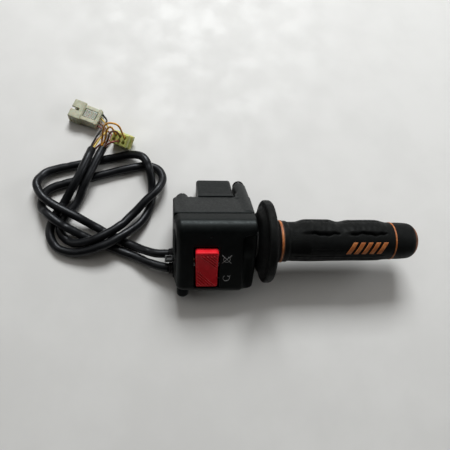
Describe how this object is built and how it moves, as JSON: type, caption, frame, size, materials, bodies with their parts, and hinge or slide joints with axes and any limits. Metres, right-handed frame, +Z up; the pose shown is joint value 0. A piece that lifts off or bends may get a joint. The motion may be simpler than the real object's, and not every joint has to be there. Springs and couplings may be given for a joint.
{
  "type": "motorcycle twist throttle with switch housing",
  "caption": "Right-hand ride-by-wire twist throttle: rubber grip with flange, two-part switch housing with a red kill rocker, sensor cover and sleeved leads ending in connectors.",
  "frame": {"origin": "on the handlebar's axis, at the inboard face of the switch housing", "axes": "+X along the handlebar towards the grip's closed end, +Z up from the bench the control lies on, +Y away from the rider's side of the bench"},
  "size_m": [0.3095, 0.1734, 0.0651],
  "materials": {
    "housing_plastic": "satin, finely textured",
    "soft_rubber": "matt",
    "screw_steel": "black zinc",
    "brass_parts": "satin",
    "inner_plastic": "matt",
    "board": "solder mask",
    "gear_plastic": "matt",
    "spring_steel": "bright",
    "grip_rubber": "satin",
    "orange_rubber": "satin",
    "red_plastic": "semi-gloss",
    "base_laminate": "matt",
    "clip_plastic": "satin",
    "sleeve_vinyl": "semi-gloss",
    "nylon_white": "translucent satin",
    "nylon_green": "translucent satin",
    "nylon_lock": "translucent satin",
    "tin_blades": "bright",
    "wire_black": "satin",
    "wire_yellow": "satin",
    "wire_brown": "satin",
    "wire_red": "satin",
    "wire_amber": "satin"
  },
  "bodies": {
    "housing": {"front_housing": "housing_plastic", "rear_housing": "housing_plastic", "housing_seal": "soft_rubber", "housing_screws": "screw_steel", "screw_inserts": "brass_parts", "sensor_cover": "housing_plastic", "cover_screws": "screw_steel", "sensor_bracket": "inner_plastic", "sensor_board": "board", "tube_bush": "gear_plastic", "return_spring": "spring_steel", "rocker_pin": "spring_steel", "switch_base": "base_laminate", "fixed_contacts": "brass_parts", "switch_gland": "soft_rubber", "sensor_gland": "soft_rubber", "lead_clip": "clip_plastic", "switch_sheath": "sleeve_vinyl", "sensor_sheath": "sleeve_vinyl", "switch_plug": "nylon_white", "switch_plug_lock": "nylon_lock", "switch_plug_terminals": "tin_blades", "sensor_plug": "nylon_green", "sensor_plug_lock": "nylon_lock", "sensor_plug_terminals": "tin_blades", "switch_wire_1": "wire_black", "switch_wire_2": "wire_yellow", "switch_wire_3": "wire_brown", "switch_wire_4": "wire_red", "sensor_wire_1": "wire_amber", "sensor_wire_2": "wire_brown", "sensor_wire_3": "wire_yellow", "sensor_wire_4": "wire_red"},
    "throttle": {"throttle_tube": "inner_plastic", "drive_gear": "gear_plastic", "grip_rubber": "grip_rubber", "hub_ring": "orange_rubber", "end_ring": "orange_rubber", "grip_badge": "orange_rubber"},
    "sensor_rotor": {"sensor_gear": "gear_plastic", "sensor_magnet": "spring_steel"},
    "kill_rocker": {"kill_rocker": "red_plastic", "rocker_contact": "brass_parts", "detent_spring": "spring_steel", "detent_ball": "spring_steel"}
  },
  "joints": [
    {"name": "throttle_twist", "type": "hinge", "parent": "housing", "child": "throttle", "pos_m": [0.1, 0, 0], "axis": [1, 0, 0], "range_deg": [0, 70], "stiffness_Nm_per_rad": 0.2, "springref_deg": -57.3},
    {"name": "sensor_turn", "type": "hinge", "parent": "housing", "child": "sensor_rotor", "pos_m": [0.0376, 0.0222, -0.01372], "axis": [1, 0, 0], "range_deg": [-134, 0]},
    {"name": "rocker_tilt", "type": "hinge", "parent": "housing", "child": "kill_rocker", "pos_m": [0.0245, -0.01754, -0.00057], "axis": [1, 0, 0], "range_deg": [-14, 0]}
  ],
  "couplings": [
    {"joint": "sensor_turn", "follows": "throttle_twist", "ratio": -1.8889}
  ]
}
